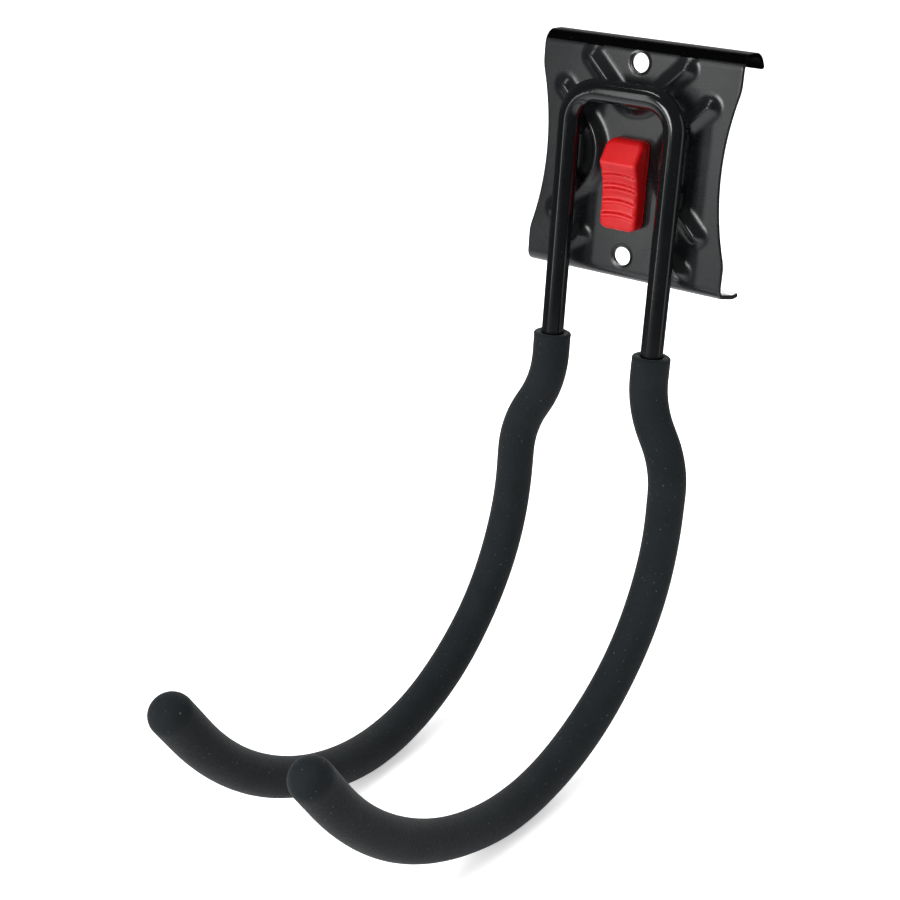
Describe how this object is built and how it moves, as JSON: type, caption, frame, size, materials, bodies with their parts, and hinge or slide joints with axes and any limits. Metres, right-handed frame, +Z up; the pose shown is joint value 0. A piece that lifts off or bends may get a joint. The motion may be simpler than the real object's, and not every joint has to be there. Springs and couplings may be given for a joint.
{
  "type": "storage hook",
  "caption": "Wall or rail storage hook: a pressed plate with lips for a rail, a bent rod forming padded prongs that sweep forward, and a slide latch that locks it.",
  "frame": {"origin": "midway between the two screw holes, on the back face of the plate", "axes": "+Z up, +Y backwards into the wall, +X to the right for someone who faces the hook; the prongs reach out along -Y"},
  "size_m": [0.093, 0.2672, 0.2952],
  "materials": {
    "plate_black": "satin black coating",
    "rod_black": "gloss black coating",
    "foam": "matte charcoal foam with a fine grain",
    "cap_plastic": "matte black plastic",
    "latch_red": "semi-gloss red plastic with a fine texture",
    "zinc_steel": "zinc-plated sheet steel",
    "spring_steel": "bright spring steel",
    "weld_steel": "dull weld metal"
  },
  "bodies": {
    "hook": {"back_plate": "plate_black", "hook_rod": "rod_black", "rod_welds_upper": "rod_black", "rod_welds_lower": "rod_black", "foam_sleeve_left": "foam", "foam_sleeve_right": "foam", "rod_end_cap_left": "cap_plastic", "rod_end_cap_right": "cap_plastic", "detent_spring": "spring_steel", "spring_plug_welds": "weld_steel"},
    "latch": {"latch_button": "latch_red", "latch_bolt": "zinc_steel", "latch_screws": "zinc_steel"}
  },
  "joints": [
    {"name": "latch_slide", "type": "slide", "parent": "hook", "child": "latch", "axis": [0, 0, 1], "range_m": [0, 0.008]}
  ]
}
